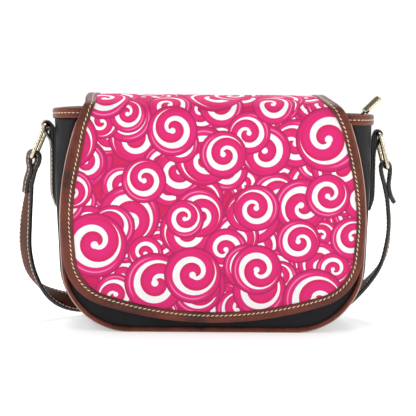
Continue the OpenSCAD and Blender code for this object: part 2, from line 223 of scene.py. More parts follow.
class Finish:
    """A procedural material, built with expressions"""

    def __init__(self, name, **uniform):
        self.material = bpy.data.materials.new(name)
        self.material.use_nodes = True
        self.tree = self.material.node_tree
        self.shader = self.tree.nodes["Principled BSDF"]
        for socket, value in uniform.items():
            self.shader.inputs[socket.replace("_", " ").title().replace("Ior", "IOR")].default_value = value

    def node(self, kind, settings=None, values=None, out=0):
        node = self.tree.nodes.new(kind)
        for key, value in (settings or {}).items():
            if key == "stops":
                ramp = node.color_ramp
                for place, colour in value[2:]:
                    ramp.elements.new(place)
                for element, (place, colour) in zip(ramp.elements, value):
                    element.position, element.color = place, colour
            else:
                setattr(node, key, value)
        for key, value in (values or {}).items():
            if isinstance(value, Value):
                self.tree.links.new(value.socket, node.inputs[key])
            else:
                node.inputs[key].default_value = value
        return Value(self, node.outputs[out])

    def place(self, kind="Object"):
        return self.node("ShaderNodeTexCoord", out=kind)

    def noise(self, where, scale, detail=3.0, rough=0.5):
        return self.node("ShaderNodeTexNoise", {},
                         {"Vector": where, "Scale": scale, "Detail": detail, "Roughness": rough})

    def cells(self, where, scale, feature="F1", out="Distance"):
        return self.node("ShaderNodeTexVoronoi", {"feature": feature},
                         {"Vector": where, "Scale": scale}, out=out)

    def vector(self, operation, *values, out=0):
        return self.node("ShaderNodeVectorMath", {"operation": operation}, dict(enumerate(values)), out)

    def scaled(self, vector, factor):
        return self.node("ShaderNodeVectorMath", {"operation": "SCALE"}, {0: vector, "Scale": factor})

    def chances(self, cell):
        """Three even random numbers for each cell, as a colour"""
        return self.node("ShaderNodeTexWhiteNoise", {"noise_dimensions": "3D"}, {"Vector": cell}, out="Color")

    def turned(self, vector, angle):
        return self.node("ShaderNodeVectorRotate", {"rotation_type": "Z_AXIS"},
                         {"Vector": vector, "Angle": angle})

    def join(self, x=0.0, y=0.0, z=0.0):
        return self.node("ShaderNodeCombineXYZ", {}, {0: x, 1: y, 2: z})

    def split(self, vector):
        node = self.tree.nodes.new("ShaderNodeSeparateXYZ")
        self.tree.links.new(vector.socket, node.inputs[0])
        return [Value(self, socket) for socket in node.outputs]

    def mix(self, first, second, share):
        return self.node("ShaderNodeMix", {"data_type": "RGBA"}, {0: share, 6: first, 7: second}, out=2)

    def mix_vector(self, first, second, share):
        return self.node("ShaderNodeMix", {"data_type": "VECTOR"}, {0: share, 4: first, 5: second}, out=1)

    def relief(self, height, depth, strength=1.0):
        normal = self.node("ShaderNodeBump", {}, {"Height": height, "Distance": depth, "Strength": strength})
        self.set(Normal=normal)

    def set(self, **links):
        for socket, value in links.items():
            self.tree.links.new(value.socket, self.shader.inputs[socket.replace("_", " ")])


FINISHES = {}


def finish(name):
    """The finish of that name, made when it is first asked for"""
    if name not in FINISHES:
        FINISHES[name] = FINISH_MAKERS[name]().material
    return FINISHES[name]


def grained_leather(name, main, grain, gloss, wear, coat, highlight_line=None):
    """Pebbled leather with creases and pores; the last argument, when given, places a painted highlight: a
    pale line along a piping, that far around it
    """
    c = colours()
    deep, wear_and_painted_reflection = c.leather_deep, c.leather_worn
    leather = Finish(name, coat_roughness=0.27, specular_ior_level=0.15)
    leather.shader.inputs["Coat Weight"].default_value = coat
    at = leather.place()
    clouds = leather.noise(at, 38, 5, 0.62)
    patches = leather.noise(at, 160, 3, 0.6)
    pebbles = leather.cells(at, grain, "SMOOTH_F1")
    bent = leather.node("ShaderNodeTexNoise", {}, {"Vector": at, "Scale": 220.0}, out="Color")
    creases = leather.cells(leather.vector("ADD", at, bent), grain * 0.45, "DISTANCE_TO_EDGE")
    pores = leather.noise(at, grain * 2.3, 2, 0.6)
    groove = 1 - creases.rises(0.0, 0.16)
    tone = leather.mix(deep, main, clouds.rises(0.25, 0.62))
    tone = leather.mix(tone, wear_and_painted_reflection, patches.rises(0.58, 0.85) * clouds.rises(0.45, 0.75) * wear)
    tone = leather.mix(tone, deep, groove * 0.35 + pores.rises(0.55, 0.75) * 0.35)
    if highlight_line:
        # Painted highlight: a pale line along the piping's front, where light would catch its rounded cord.
        around = leather.split(leather.place("UV"))[1]
        painted_highlight = around.rises(highlight_line - 0.0009, highlight_line - 0.0002) * around.rises(highlight_line + 0.0009, highlight_line + 0.0002)
        tone = leather.mix(tone, shade(226, 178, 160), painted_highlight * (0.4 + clouds * 0.6))
    rough = gloss + clouds * 0.12 + pores * 0.10 + groove * 0.08
    leather.set(Base_Color=tone, Roughness=rough)
    leather.relief(pebbles * 0.5 + creases.rises(0.0, 0.2) * 0.35 + pores * 0.25, 0.00022, 0.55)
    return leather


def brown_leather():
    return grained_leather("brown_leather", colours().leather, 720, 0.34, wear=0.5, coat=0.4)


def piping_leather():
    # The piping's leather carries a painted highlight along its front.
    return grained_leather("piping_leather", colours().leather, 720, 0.34, wear=0.4, coat=0.5, highlight_line=0.0019)


def strap_leather():
    return grained_leather("strap_leather", colours().strap_leather, 760, 0.45, wear=0.3, coat=0.06)


def black_leather():
    c = colours()
    soft = Finish("black_leather", specular_ior_level=0.2)
    at = soft.place()
    pebbles = soft.cells(at, 620, "SMOOTH_F1")
    clouds = soft.noise(at, 30, 5, 0.6)
    pores = soft.noise(at, 1500, 2, 0.6)
    tone = soft.mix(toned(c.black, 0.6), c.black, clouds.rises(0.3, 0.6))
    tone = soft.mix(tone, toned(c.black, 1.55), pores.rises(0.5, 0.8) * 0.5)
    soft.set(Base_Color=tone, Roughness=0.52 + clouds * 0.14 - pebbles * 0.08)
    soft.relief(pebbles * 0.7 + pores * 0.3, 0.0002, 0.6)
    return soft


def edge_paint():
    c = colours()
    paint = Finish("edge_paint", specular_ior_level=0.5, coat_roughness=0.2)
    paint.shader.inputs["Coat Weight"].default_value = 0.25
    at = paint.place()
    waves = paint.noise(at, 420, 3, 0.6)
    streaks = paint.noise(paint.vector("MULTIPLY", at, (1.0, 5.0, 1.0)), 300, 3, 0.6)
    paler = toned(c.edge_paint, 1.8)
    paint.set(Base_Color=paint.mix(c.edge_paint, paler, waves.rises(0.5, 0.75) * 0.6),
              Roughness=0.30 + streaks * 0.2)
    paint.relief(waves * 0.6 + streaks * 0.4, 0.0002, 0.5)
    return paint


def brass_with_painted_reflections():
    c = colours()
    metal = Finish("brass_with_painted_reflections", metallic=1.0)
    at = metal.place()
    spots = metal.noise(at, 520, 4, 0.65)
    clouds = metal.noise(at, 90, 3, 0.5)
    scratches = metal.noise(metal.vector("MULTIPLY", at, (1.0, 9.0, 2.0)), 500, 2, 0.7)
    # Dark mottling painted into the brass: painted reflections that stand in for the dark streaks a bright
    # metal shows.
    wear_and_painted_reflection = spots.rises(0.58, 0.8) * 0.45 + clouds.rises(0.5, 0.75) * 0.2
    metal.set(Base_Color=metal.mix(c.brass, toned(c.brass, 0.35), wear_and_painted_reflection),
              Roughness=0.16 + spots * 0.10 + scratches.rises(0.5, 0.75) * 0.14)
    metal.relief(spots * 0.5 + scratches * 0.5, 0.00002, 0.25)
    return metal


def dark_brass():
    c = colours()
    metal = Finish("dark_brass", metallic=1.0)
    at = metal.place()
    dimples = metal.cells(at, 1100, "F1")
    spots = metal.noise(at, 400, 4, 0.6)
    dull, bright = toned(c.brass, 0.08), toned(c.brass, 0.30)
    metal.set(Base_Color=metal.mix(dull, bright, dimples.rises(0.35, 0.7) * 0.7 + spots * 0.2),
              Roughness=0.34 + spots * 0.2)
    metal.relief(dimples, 0.00025, 0.8)
    return metal


def zip_tape_cloth():
    c = colours()
    tape = Finish("zip_tape_cloth", specular_ior_level=0.2)
    x, y = tape.split(tape.place())[:2]
    ribs = (x * 5200).math("SINE") * (y * 7600).math("SINE")
    fuzz = tape.noise(tape.place(), 2400, 2, 0.6)
    tape.set(Base_Color=tape.mix(c.black, toned(c.black, 2.2), ribs.rises(-0.4, 1.0) * 0.5 + fuzz * 0.2),
             Roughness=0.8 + fuzz * 0.12)
    tape.relief(ribs * 0.5 + fuzz * 0.3, 0.00015, 0.7)
    return tape


def lining_cloth():
    c = colours()
    cloth = Finish("lining_cloth", specular_ior_level=0.2)
    at = cloth.place()
    x, y, z = cloth.split(at)
    weave = ((x + y) * 6500).math("SINE") * ((z - y) * 6500).math("SINE")
    fuzz = cloth.noise(at, 1600, 3, 0.65)
    clouds = cloth.noise(at, 30, 3, 0.5)
    shown = weave.rises(-0.2, 1.0) * 0.5 + clouds * 0.25
    cloth.set(Base_Color=cloth.mix(c.lining, toned(c.lining, 1.7), shown),
              Roughness=0.76 + fuzz * 0.15)
    cloth.relief(weave * 0.5 + fuzz * 0.4, 0.00018, 0.7)
    return cloth


def fibre_board():
    board = Finish("fibre_board", specular_ior_level=0.2)
    at = board.place()
    fibres = board.noise(board.vector("MULTIPLY", at, (1.0, 3.0, 1.0)), 500, 4, 0.7)
    specks = board.noise(at, 1800, 2, 0.5)
    board.set(Base_Color=board.mix(shade(120, 104, 84), shade(164, 146, 120), fibres.rises(0.3, 0.7)),
              Roughness=0.8 + specks * 0.1)
    board.relief(fibres + specks * 0.4, 0.0002, 0.6)
    return board


def sewing_thread():
    c = colours()
    thread = Finish("sewing_thread", specular_ior_level=0.35)
    at = thread.place()
    twist = thread.noise(at, 2600, 2, 0.6)
    soil = thread.noise(at, 120, 3, 0.6)
    darker = twist.rises(0.5, 0.75) * 0.6 + soil.rises(0.55, 0.8) * 0.4
    thread.set(Base_Color=thread.mix(c.thread, toned(c.thread, 0.62), darker),
               Roughness=0.6 + twist * 0.2)
    thread.relief(twist, 0.0001, 0.6)
    return thread


# Each layer of sweets: size of its cells, turn, shift and how many cells are filled
SWEET_LAYERS = [(0.050, 0.3, 1.3, 1.0), (0.046, 1.2, 7.7, 1.0), (0.056, -0.5, 3.1, 1.0),
                (0.048, 0.8, 9.4, 1.0), (0.053, -0.2, 4.6, 0.9), (0.062, 0.1, 5.9, 0.75),
                (0.046, -0.9, 2.2, 0.6), (0.064, 0.55, 8.5, 0.5), (0.058, 1.4, 6.3, 0.35)]
SWIRL_REACH, SWIRL_START, SWIRL_POWER = 0.86, 0.655, 0.80


def sweets_print():
    """Canvas printed with overlapping swirled sweets, drawn in metres along the cloth"""
    c = colours()
    cloth = Finish("sweets_print", specular_ior_level=0.08)
    at = cloth.place("UV")
    spot, lot = cloth.join(3.0, 3.0), cloth.join(0.5, 0.5, 0.5)
    for number, (size, turn, shift, filled) in enumerate(SWEET_LAYERS):
        grid = cloth.scaled(cloth.turned(at, turn), 1 / size)
        place = cloth.vector("ADD", grid, (shift, shift * 1.7, 0.0))
        key = cloth.vector("ADD", cloth.vector("FLOOR", place), (0.0, 0.0, 13.7 * number + 2.0))
        extra = cloth.chances(cloth.vector("ADD", key, (31.4, 7.2, 0.5)))
        a, b, big = cloth.split(cloth.chances(key))
        present = cloth.split(extra)[2].below(filled)
        radius = 0.30 + big * 0.17
        room = 1.0 - radius * 2
        inside = cloth.vector("SUBTRACT", cloth.vector("FRACTION", place),
                              cloth.join(radius + room * a, radius + room * b))
        local = cloth.scaled(inside, radius ** -1.0)
        hit = cloth.vector("LENGTH", local, out="Value").below(1.0) * present
        spot = cloth.mix_vector(spot, local, hit)
        lot = cloth.mix_vector(lot, extra, hit)
    lot_turn, lot_hand = cloth.split(lot)[:2]
    sx, sy = cloth.split(spot)[:2]
    rim_at = cloth.vector("LENGTH", spot, out="Value")
    covered = rim_at.below(1.0)
    hand = lot_hand.above(0.42) * 2 - 1
    sx = sx * hand
    tx, ty = cloth.split(cloth.turned(cloth.join(sx, sy), lot_turn * (2 * math.pi)))[:2]
    # The swirl sits to one side of the sweet, so that the rim is wide opposite its end.
    ux, uy = (tx + 0.085) / 0.90, (ty - 0.02) / 0.90
    reach = cloth.vector("LENGTH", cloth.join(ux, uy), out="Value")
    angle = uy.math("ARCTAN2", ux) / (2 * math.pi)
    angle = angle.math("FRACT")
    turns = (reach / SWIRL_START) ** (1 / SWIRL_POWER)
    wound = turns - angle
    along = wound.math("FLOOR")
    part = wound - along
    arm = along + angle
    width = 0.23 + arm.rises(0.0, 1.1) * 0.36
    stripe = (part - width).rises(0.012, -0.012) * along.above(-0.5)
    bead = cloth.vector("LENGTH", cloth.join(ux - 0.085, uy + 0.03), out="Value").rises(0.135, 0.12)
    end = reach.rises(SWIRL_REACH + 0.01, SWIRL_REACH - 0.01)
    white = (stripe * end).math("MAXIMUM", bead) * covered
    inner_shade = part.rises(0.62, 0.98) * along.above(-1.5) * end
    rim_shade = rim_at.rises(0.86, 1.0)
    rim_glow = reach.rises(SWIRL_REACH, SWIRL_REACH + 0.12) * 0.5
    arc = rim_at.rises(0.80, 0.825) * rim_at.rises(0.865, 0.84) * (tx - 0.1).rises(0.25, 0.7)
    tone = cloth.mix(c.candy, c.candy_deep, inner_shade * 0.9)
    tone = cloth.mix(tone, c.candy, rim_glow)
    tone = cloth.mix(tone, c.candy_shine, arc * 0.85)
    tone = cloth.mix(tone, c.candy_rim, rim_shade * 0.85)
    tone = cloth.mix(tone, c.canvas, white)
    tone = cloth.mix(c.candy_deep, tone, covered)
    tone = cloth.mix(tone, c.candy_rim, (rim_at - 0.955).rises(0.0, 0.04) * covered * 0.8)
    u, v = cloth.split(at)[:2]
    weave = ((u + v) * 7000).math("SINE") * ((u - v) * 7000).math("SINE")
    fuzz = cloth.noise(at, 900, 3, 0.6)
    gaps = weave.rises(0.2, 1.0) * 0.07 + fuzz.rises(0.5, 0.8) * 0.06
    tone = cloth.mix(tone, (0.30, 0.18, 0.24, 1.0), gaps)
    cloth.set(Base_Color=tone, Roughness=0.56 + fuzz * 0.16)
    cloth.relief(weave * 0.5 + fuzz * 0.4, 0.00012, 0.45)
    return cloth


def floor_paper():
    c = colours()
    paper = Finish("floor_paper", specular_ior_level=0.1)
    at = paper.place()
    tooth = paper.noise(at, 300, 3, 0.6)
    paper.set(Base_Color=paper.mix(c.floor, toned(c.floor, 1.02), tooth), Roughness=0.9 + tooth * 0.05)
    paper.shader.inputs["Emission Color"].default_value = (1, 1, 1, 1)
    paper.shader.inputs["Emission Strength"].default_value = 0.40
    return paper


FINISH_MAKERS = {
    "brown_leather": brown_leather, "piping_leather": piping_leather, "strap_leather": strap_leather,
    "black_leather": black_leather, "edge_paint": edge_paint, "bright_brass": brass_with_painted_reflections,
    "dark_brass": dark_brass, "zip_tape": zip_tape_cloth, "lining_cloth": lining_cloth,
    "fibre_board": fibre_board, "thread": sewing_thread, "sweets_print": sweets_print,
    "floor_paper": floor_paper,
}


# ---------------------------------------------------------------- shapes

def mix(a, b, t):
    return a + (b - a) * t


def smooth_point(points, u):
    """Point of a smooth curve through the points, at u counted in points"""
    last = len(points) - 1
    k = min(int(math.floor(u)), last - 1)
    t = u - k
    p = [Vector(points[min(max(i, 0), last)]) for i in range(k - 1, k + 3)]
    if k == 0:
        p[0] = 2 * p[1] - p[2]
    if k == last - 1:
        p[3] = 2 * p[2] - p[1]
    return 0.5 * (2 * p[1] + (p[2] - p[0]) * t + (2 * p[0] - 5 * p[1] + 4 * p[2] - p[3]) * t * t
                  + (3 * p[1] - p[0] - 3 * p[2] + p[3]) * t ** 3)


def lengths(points):
    """Distance along the points at each of them"""
    total = [0.0]
    for a, b in zip(points, points[1:]):
        total.append(total[-1] + (Vector(b) - Vector(a)).length)
    return total


def at_length(points, along, distance):
    """Point at that distance along the points"""
    distance = min(max(distance, 0.0), along[-1])
    low, high = 0, len(along) - 1
    while high - low > 1:
        middle = (low + high) // 2
        if along[middle] <= distance:
            low = middle
        else:
            high = middle
    step = along[high] - along[low]
    share = (distance - along[low]) / step if step else 0.0
    return Vector(points[low]).lerp(Vector(points[high]), share)


def evenly(points, count):
    """count + 1 points spaced evenly along the points"""
    along = lengths(points)
    return [at_length(points, along, along[-1] * k / count) for k in range(count + 1)]


def half_outline(circles, grow=0.0, top=0.2, step=4.0):
    """Right half of an outline from the middle of the base up to the height top, as (x, z)"""
    def meet(a, b):
        dx, dz = b[0] - a[0], b[1] - a[1]
        return math.atan2(dz, dx) - math.acos(min(1.0, (a[2] - b[2]) / math.hypot(dx, dz)))
    turns = [-math.pi / 2] + [meet(a, b) for a, b in zip(circles, circles[1:])] + [math.pi / 2]
    points = [Vector((0.0, circles[0][1] - circles[0][2] - grow))]
    for (x, z, radius), start, stop in zip(circles, turns, turns[1:]):
        turn_steps = math.ceil(math.degrees(stop - start) / step)
        count = max(2, turn_steps, math.ceil((stop - start) * radius / 0.005))
        for k in range(count + 1):
            turn = mix(start, stop, k / count)
            point = Vector((x + (radius + grow) * math.cos(turn), z + (radius + grow) * math.sin(turn)))
            if point.y > top:
                low = points[-1]
                points.append(low.lerp(point, (top - low.y) / (point.y - low.y)))
                return points
            if (point - points[-1]).length > 1e-6:
                points.append(point)
    return points


def whole_outline(circles, grow, top, count):
    """Open outline from the left top down round the base to the right top, as (x, z)"""
    right = evenly(half_outline(circles, grow, top), count)
    return [Vector((-p.x, p.y)) for p in reversed(right)] + right[1:]


def mixed_circles(share):
    return [tuple(mix(a, b, share) for a, b in zip(one, two))
            for one, two in zip(FRONT_OUTLINE, MIDDLE_OUTLINE)]


def finished(name, shape, body, finishes, sharp=35, outwards=True):
    """Makes the piece's object, with smooth shading up to the angle sharp, and lets it ride"""
    if outwards:
        bmesh.ops.recalc_face_normals(shape, faces=shape.faces)
    for face in shape.faces:
        face.smooth = True
    for edge in shape.edges:
        edge.smooth = edge.calc_face_angle(0.0) < math.radians(sharp)
    mesh = bpy.data.meshes.new(name)
    shape.to_mesh(mesh)
    shape.free()
    for one in finishes:
        mesh.materials.append(finish(one))
    piece = bpy.data.objects.new(name, mesh)
    bpy.context.scene.collection.objects.link(piece)
    if body:
        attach(piece, body)
    return piece


def thicken(piece, thickness):
    """Gives a sheet its wall, inwards from its outer face"""
    wall = piece.modifiers.new("Wall", "SOLIDIFY")
    wall.thickness, wall.offset = thickness, -1.0


def sheet_shape(across, down, place):
    """A grid whose points go where place(a, b) says; it gives the point and its place on the cloth"""
    shape = bmesh.new()
    layer = shape.loops.layers.uv.new("UVMap")
    bmesh.ops.create_grid(shape, x_segments=across, y_segments=down, size=0.5)
    cloth = {}
    for vert in shape.verts:
        a, b = round(vert.co.x + 0.5, 6), round(vert.co.y + 0.5, 6)
        vert.co, cloth[vert] = place(a, b)
    for face in shape.faces:
        for loop in face.loops:
            loop[layer].uv = cloth[loop.vert]
    return shape


def face_towards(shape, direction):
    """Turns the sheet's faces so that most look along direction(centre)"""
    bmesh.ops.recalc_face_normals(shape, faces=shape.faces)
    if sum(f.normal.dot(direction(f.calc_center_median())) * f.calc_area() for f in shape.faces) < 0:
        bmesh.ops.reverse_faces(shape, faces=shape.faces)
    return shape


def loop_edges(ring, find):
    """The closed loop of edges through the ring's points, made or found by find"""
    return [find((ring[k], ring[(k + 1) % len(ring)])) for k in range(len(ring))]


def next_ring(shape, ring, edges, places):
    """Extrudes the ring once, to the places; it gives the new points and their edges"""
    made = bmesh.ops.extrude_edge_only(shape, edges=edges)["geom"]
    fresh = {g for g in made if isinstance(g, bmesh.types.BMVert)}
    following = [next(e.other_vert(v) for e in v.link_edges if e.other_vert(v) in fresh) for v in ring]
    for vert, place in zip(following, places):
        vert.co = place
    return following, loop_edges(following, shape.edges.get)


def sweep(stations, profile, closed=False, paint=None):
    """Extrudes a closed profile along stations (point, profile's x direction, profile's y direction)"""
    shape = bmesh.new()
    layer = shape.loops.layers.uv.new("UVMap")
    centres = [s[0] for s in stations]
    along = lengths(centres + centres[:1] if closed else centres)
    around = lengths([Vector((*p, 0)) for p in profile] + [Vector((*profile[0], 0))])
    count = len(profile)

    def ring_points(station):
        point, right, up = station
        return [point + right * x + up * y for x, y in profile]
    ring = [shape.verts.new(p) for p in ring_points(stations[0])]
    first = ring
    edges = loop_edges(ring, shape.edges.new)
    spots = {vert: (0, k) for k, vert in enumerate(ring)}
    for number, station in enumerate(stations[1:], 1):
        ring, edges = next_ring(shape, ring, edges, ring_points(station))
        spots.update((vert, (number, k)) for k, vert in enumerate(ring))
    if closed:
        bmesh.ops.bridge_loops(shape, edges=edges + loop_edges(first, shape.edges.get))
    else:
        bmesh.ops.contextual_create(shape, geom=first)
        bmesh.ops.contextual_create(shape, geom=ring)
    for face in shape.faces:
        places = [spots[loop.vert] for loop in face.loops]
        if len(places) > 4:
            continue
        wraps = {p[1] for p in places} == {0, count - 1}
        turns_over = {p[0] for p in places} == {0, len(stations) - 1}
        for loop, (row, column) in zip(face.loops, places):
            row = len(stations) if turns_over and row == 0 else row
            column = count if wraps and column == 0 else column
            loop[layer].uv = (along[row], around[column])
        if paint:
            face.material_index = paint(min(places, key=lambda p: p[1])[1] if not wraps else count - 1)
    return shape


def circle_profile(radius, count, flat=1.0):
    return [(radius * math.cos(2 * math.pi * k / count), radius * flat * math.sin(2 * math.pi * k / count))
            for k in range(count)]


def strap_profile(width, thickness):
    """Rounded strip across a strap: its front face is on the -y side"""
    w, t, r = width / 2, thickness / 2, min(0.0009, thickness * 0.3)
    corner = [(0.0, r), (0.3 * r, 0.3 * r), (r, 0.0)]
    points = []
    for sx, sy, order in ((1, 1, 1), (-1, 1, -1), (-1, -1, 1), (1, -1, -1)):
        quarter = [(sx * (w - cx), sy * (t - cy)) for cx, cy in corner]
        points += quarter[::order]
    return points


def stations_along(points, sides):
    """Frames along a strap, from its points and the directions of its width"""
    found = []
    for k, point in enumerate(points):
        run = (points[min(k + 1, len(points) - 1)] - points[max(k - 1, 0)]).normalized()
        side = (sides[k] - run * sides[k].dot(run)).normalized()
        found.append((point, side, run.cross(side)))
    return found


def merged_copy(node):
    """A copy of a CAD node with its loose triangles joined into whole faces"""
    shape = bmesh.new()
    shape.from_mesh(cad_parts[node].data)
    bmesh.ops.remove_doubles(shape, verts=shape.verts, dist=1e-6)
    bmesh.ops.dissolve_limit(shape, angle_limit=math.radians(1.0), verts=shape.verts, edges=shape.edges)
    return shape


def round_over(shape, edges, width, segments):
    bmesh.ops.bevel(shape, geom=edges, offset=width, offset_type="OFFSET", affect="EDGES", segments=segments,
                    profile=0.5, material=-1, clamp_overlap=True)


def sharp_edges(shape, angle):
    return [e for e in shape.edges if e.calc_face_angle(0.0) > math.radians(angle)]


def inset_faces(shape, faces, width, depth):
    bmesh.ops.inset_region(shape, faces=faces, thickness=width, depth=depth, use_even_offset=True)


def largest_faces(shape):
    """The two broad faces of a disc or plate"""
    return sorted(shape.faces, key=lambda f: f.calc_area())[-2:]


def rounded_copy(node, width):
    """A copy of a CAD node with its edges rounded over"""
    shape = merged_copy(node)
    round_over(shape, sharp_edges(shape, 30), width, 2)
    return shape


def rounded_piece(node, ending, width, body, finish_name):
    """The CAD node as a piece with rounded edges, in its place"""
    piece = finished(node + ending, rounded_copy(node, width), body, [finish_name])
    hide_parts(node)


def sew_straight(name, node, side, margin, above, below, steps):
    """Two level rows across a CAD node's front or back: above its lower edge and below its upper one"""
    low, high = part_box(node)
    y = low.y if side < 0 else high.y
    rows = [([Vector((mix(low.x + margin, high.x - margin, k / steps), y, z)) for k in range(steps + 1)],
             [Vector((0, side, 0))] * (steps + 1)) for z in (low.z + above, high.z - below)]
    sew(name, rows, "bag")


def sew(name, rows, body, slant=0.0):
    """Stitches along rows of (points, outward directions), one piece for them all"""
    s = sizes()
    shape, batch = bmesh.new(), bmesh.new()
    merged = bpy.data.meshes.new(name + "_batch")

    def store():
        """Moves the batch into the whole, because a large bmesh makes each new stitch slow"""
        batch.to_mesh(merged)
        shape.from_mesh(merged)
        batch.clear()
    for points, normals in rows:
        along = lengths(points)
        count = max(1, int(along[-1] / s.stitch_pitch))
        for k in range(count):
            middle = along[-1] * (k + 0.5) / count
            start = at_length(points, along, middle - s.stitch_length / 2)
            stop = at_length(points, along, middle + s.stitch_length / 2)
            up = at_length(normals, along, middle).normalized()
            run = (stop - start).normalized()
            side = up.cross(run).normalized()
            run = (run + side * slant).normalized()
            side = up.cross(run).normalized()
            turn = Matrix((run * s.stitch_length / 2, side * s.thread_radius,
                           up * s.thread_radius * THREAD_FLATTENING)).transposed()
            bmesh.ops.create_uvsphere(batch, u_segments=6, v_segments=5, radius=1.0,
                                      matrix=Matrix.Translation((start + stop) / 2) @ turn.to_4x4()
                                      @ Matrix.Rotation(math.pi / 2, 4, "Y"))
            if (k + 1) % STITCHES_PER_BATCH == 0:
                store()
        store()
    batch.free()
    bpy.data.meshes.remove(merged)
    return finished(name, shape, body, ["thread"], sharp=80)


# ---------------------------------------------------------------- pieces

def panel_piece(name, node, side):
    """Front or back panel: a flat leather panel that swells a little in its middle"""
    outline = whole_outline(FRONT_OUTLINE, -0.00225, 0.1955, 40)
    middle = Vector((0.0, 0.105))
    rings = [(1.0, 0.0355), (1.0, 0.0379), (0.985, 0.0382), (0.94, 0.0386), (0.85, 0.0389), (0.7, 0.0392),
             (0.5, 0.0394), (0.25, 0.0395)]
    shape = bmesh.new()
    ring = [shape.verts.new((p.x, side * rings[0][1], p.y)) for p in outline]
    edges = loop_edges(ring, shape.edges.new)
    for share, depth in rings[1:]:
        places = []
        for p in outline:
            q = middle + (p - middle) * share
            ripple = 0.0005 * noise.noise(Vector((q.x * 25, q.y * 25, side * 3.0))) * (1 - share)
            places.append((q.x, side * (depth + ripple), q.y))
        ring, edges = next_ring(shape, ring, edges, places)
    bmesh.ops.contextual_create(shape, geom=ring)
    bmesh.ops.holes_fill(shape, edges=[e for e in shape.edges if e.is_boundary], sides=0)
    piece = finished(name, shape, "bag", ["black_leather"])
    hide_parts(node)


def gusset_piece():
    """Side and base of the bag: one strip of soft leather, folded a little down its sides"""
    across, around = 20, 50
    rows = []
    for k in range(across + 1):
        turn = math.radians(-90 + 180 * k / across)
        circles = mixed_circles(math.cos(turn))
        rows.append((HALF_DEPTH * math.sin(turn), whole_outline(circles, 0.0, 0.1965, around)))

    def place(a, b):
        column, row = round(a * 2 * around), round(b * across)
        y, outline = rows[row]
        p = outline[column]
        inside = Vector((0.0, 0.1)) - p
        free = math.sin(math.pi * b) ** 0.7 * min(1.0, p.y / 0.05) * min(1.0, max(0.0, (0.192 - p.y) / 0.04))
        fold = noise.noise(Vector((y * 45, p.y * 11, 4.0 if p.x < 0 else 9.0)))
        fold += 0.5 * noise.noise(Vector((y * 90, p.y * 22 + y * 60, 2.0)))
        q = p + inside.normalized() * sizes().crease_depth * free * (0.4 + fold)
        return Vector((q.x, y, q.y)), (a * 0.6, b * 0.08)
    shape = sheet_shape(2 * around, across, place)
    face_towards(shape, lambda c: Vector((c.x, 0.0, c.z - 0.1)))
    piece = finished("gusset_leather", shape, "bag", ["black_leather"], outwards=False)
    thicken(piece, 0.0018)
    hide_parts("gusset")


def piping_piece(name, node, side):
    """Leather-covered cord sewn into the seam between a panel and the gusset"""
    radius = sizes().piping_radius
    outline = whole_outline(FRONT_OUTLINE, -0.0021, 0.190, 80)
    stations = []
    for k, p in enumerate(outline):
        run = outline[min(k + 1, len(outline) - 1)] - outline[max(k - 1, 0)]
        out = Vector((run.y, 0.0, -run.x)).normalized()
        bob = 0.00012 * noise.noise(Vector((p.x * 160, p.y * 160, side * 5.0)))
        stations.append((Vector((p.x, side * 0.0392, p.y)), out * (1 + bob / radius), Vector((0, side, 0))))
    shape = sweep(stations, circle_profile(radius, sizes().ring_segments))
    piece = finished(name, shape, "bag", ["piping_leather"])
    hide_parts(node)


def ring_down(end):
    """Direction from a ring's upper bar to its lower one"""
    return Vector((-math.sin(RING_TILTS[end]), 0.0, -math.cos(RING_TILTS[end])))


def mouth_points(grow, count=150):
    """Plan of the mouth, as a closed run of (x, y)"""
    corners = []
    for turn in (1, -1):
        for k in range(-90, 91, 6):
            a = math.radians(k)
            corners.append(Vector((turn * (MOUTH_FLAT + (MOUTH_BULGE + grow) * math.cos(a)),
                                   turn * (HALF_DEPTH + grow) * math.sin(a))))
    return evenly(corners + corners[:1], count)[:-1]


def mouth_rise(x):
    """Lift of the mouth at x: it tilts, and its left end sags a little"""
    sag = max(0.0, (-x - MOUTH_FLAT) / MOUTH_BULGE)
    return -sizes().mouth_tilt * x / 0.144 - 0.0016 * sag * sag


def mouth_stations(grow, height, count=150):
    points = mouth_points(grow, count)
    found = []
    for k, p in enumerate(points):
        run = points[(k + 1) % count] - points[k - 1]
        out = Vector((run.y, -run.x, 0.0)).normalized()
        found.append((Vector((p.x, p.y, height + mouth_rise(p.x))), out, Vector((0, 0, 1))))
    return found


